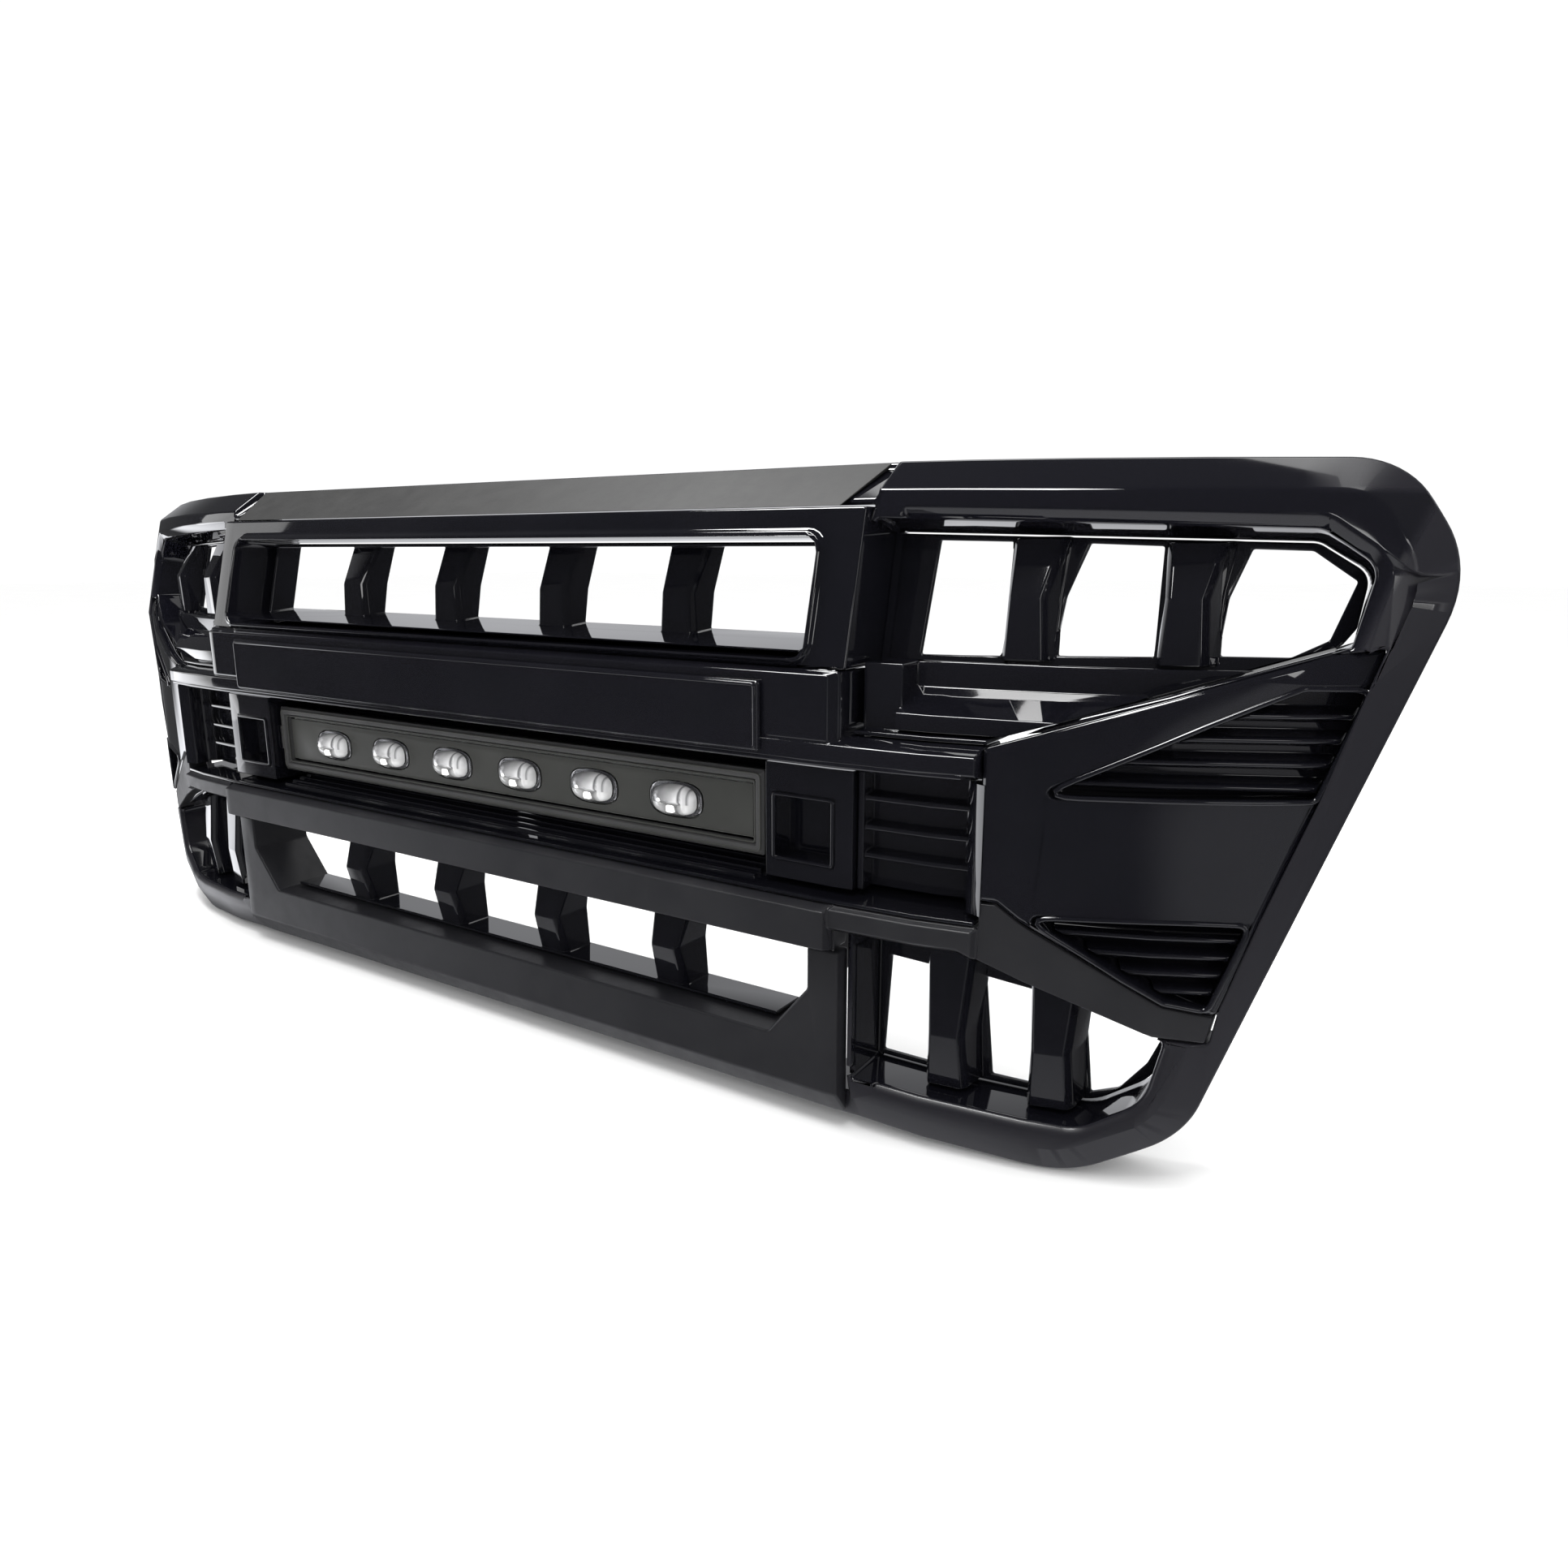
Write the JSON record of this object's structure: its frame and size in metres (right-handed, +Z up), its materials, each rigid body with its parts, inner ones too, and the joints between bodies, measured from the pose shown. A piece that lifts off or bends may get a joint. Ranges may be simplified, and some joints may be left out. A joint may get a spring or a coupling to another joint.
{
  "type": "front grille",
  "caption": "Wide black truck grille with a thick surround, stacked centre frames and bars, bladed air openings, louvred side wings and a recessed light bar that tilts.",
  "frame": {"origin": "Middle of the flat rear face of the light recess, on the grille's centre plane", "axes": "+X to the right of someone facing the grille's front, +Y back into the vehicle, +Z up; the front faces -Y"},
  "size_m": [1.1944, 0.1643, 0.4012],
  "materials": {
    "gloss_black": "deep gloss black",
    "satin_black": "satin black",
    "matte_black": "fine matt grain",
    "grey_face": "satin dark grey",
    "clear_lens": "clear moulded optic",
    "silver_reflector": "bright metallised",
    "dark_aluminium": "black anodised, cast",
    "zinc_steel": "zinc plated",
    "black_rubber": "matt",
    "board": "white solder resist"
  },
  "bodies": {
    "grille": {"outer_surround": "gloss_black", "center_bezel": "gloss_black", "upper_center_slats": "gloss_black", "center_bar": "gloss_black", "name_panel": "gloss_black", "light_tray": "gloss_black", "lower_center_slats": "gloss_black", "pocket_block_left": "gloss_black", "pocket_block_right": "gloss_black", "rib_pad_left": "gloss_black", "rib_pad_right": "gloss_black", "wing_left": "gloss_black", "wing_right": "gloss_black", "upper_vent_left": "gloss_black", "upper_vent_right": "gloss_black", "lower_vent_left": "gloss_black", "lower_vent_right": "gloss_black", "upper_side_slats_left": "gloss_black", "upper_side_slats_right": "gloss_black", "side_shelf_left": "gloss_black", "side_shelf_right": "gloss_black", "lower_side_slats_left": "gloss_black", "lower_side_slats_right": "gloss_black", "top_center_band": "satin_black", "lower_bar": "satin_black", "lower_center_panel": "satin_black", "light_bracket_left": "zinc_steel", "light_bracket_right": "zinc_steel", "mount_tab_top_left": "zinc_steel", "mount_tab_top_right": "zinc_steel", "mount_tab_bottom_left": "zinc_steel", "mount_tab_bottom_right": "zinc_steel"},
    "light_bar": {"light_case": "dark_aluminium", "light_bezel": "matte_black", "light_face": "grey_face", "light_board": "board", "light_seal": "black_rubber", "led_reflector_1": "silver_reflector", "led_reflector_2": "silver_reflector", "led_reflector_3": "silver_reflector", "led_reflector_4": "silver_reflector", "led_reflector_5": "silver_reflector", "led_reflector_6": "silver_reflector", "led_lens_1": "clear_lens", "led_lens_2": "clear_lens", "led_lens_3": "clear_lens", "led_lens_4": "clear_lens", "led_lens_5": "clear_lens", "led_lens_6": "clear_lens", "light_ear_left": "zinc_steel", "light_ear_right": "zinc_steel", "cable_gland": "black_rubber"}
  },
  "joints": [
    {"name": "light_tilt", "type": "hinge", "parent": "grille", "child": "light_bar", "pos_m": [0, -0.028, 0], "axis": [1, 0, 0], "range_deg": [-8, 8]}
  ]
}
